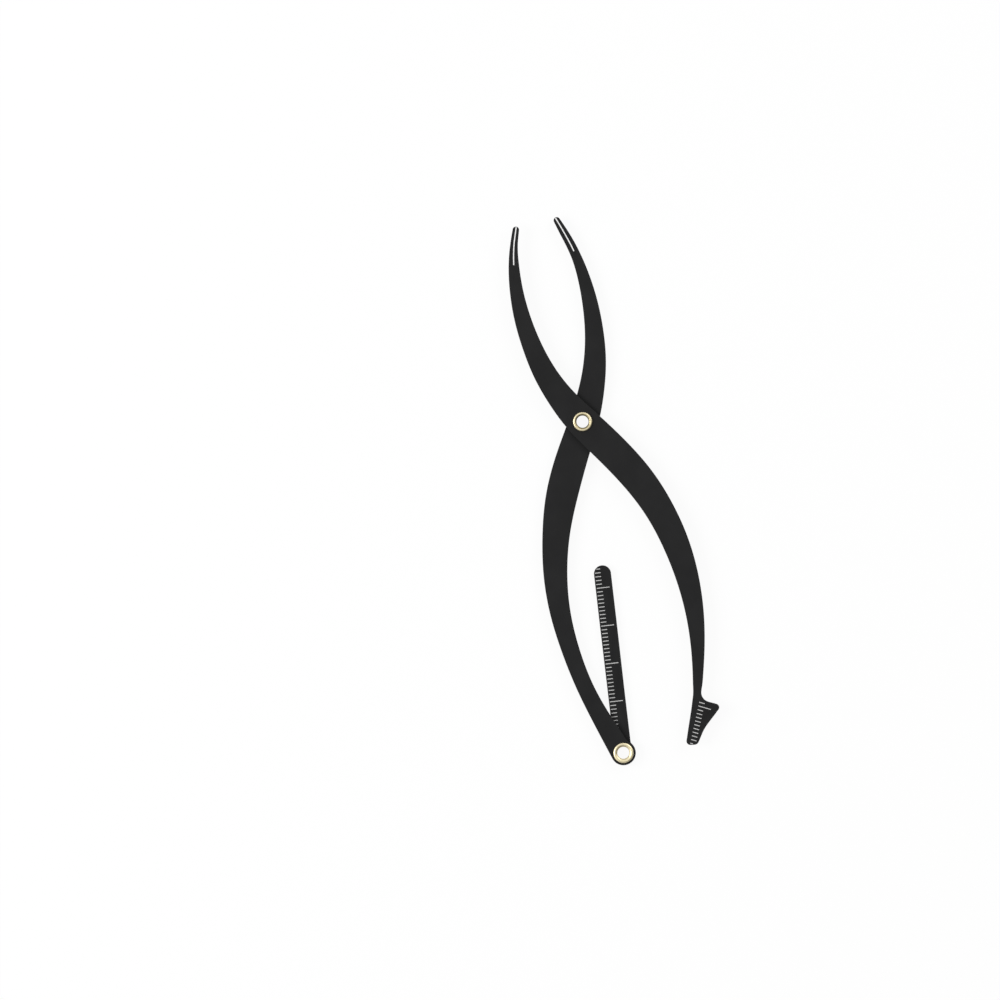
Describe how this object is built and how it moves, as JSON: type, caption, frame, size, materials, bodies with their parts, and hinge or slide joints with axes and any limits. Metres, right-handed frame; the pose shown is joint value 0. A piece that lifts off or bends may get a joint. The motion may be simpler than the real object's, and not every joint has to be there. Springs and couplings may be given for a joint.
{
  "type": "golden ratio divider",
  "caption": "Flat eyebrow mapping divider: two crossed curved arms on a hollow rivet pivot, with a swinging millimetre scale blade and a small foot scale.",
  "frame": {"origin": "centre of the overall outline seen from the front, on the surface that the divider lies on with its back down", "axes": "+Y from the lower ends towards the two fine tips, +X to the right seen from the front, +Z out of the front face with the marks"},
  "size_m": [0.0402, 0.1442, 0.0044],
  "materials": {
    "front_arm": "matte",
    "rear_arm": "matte",
    "scale_blade": "matte",
    "pivot_eyelet": "polished",
    "scale_eyelet": "polished",
    "marks": "matte"
  },
  "bodies": {
    "rear_arm": {"rear_arm": "rear_arm", "pivot_eyelet": "pivot_eyelet", "scale_eyelet": "scale_eyelet"},
    "front_arm": {"front_arm": "front_arm"},
    "scale_blade": {"scale_blade": "scale_blade"}
  },
  "joints": [
    {"name": "arm_pivot", "type": "hinge", "parent": "rear_arm", "child": "front_arm", "pos_m": [-0.00049, 0.01824, 0.00278], "axis": [0, 0, 1], "range_deg": [-9.2, 342.8]},
    {"name": "blade_pivot", "type": "hinge", "parent": "rear_arm", "child": "scale_blade", "pos_m": [-0.00958, -0.06882, 0.00162], "axis": [0, 0, 1], "continuous": true}
  ]
}
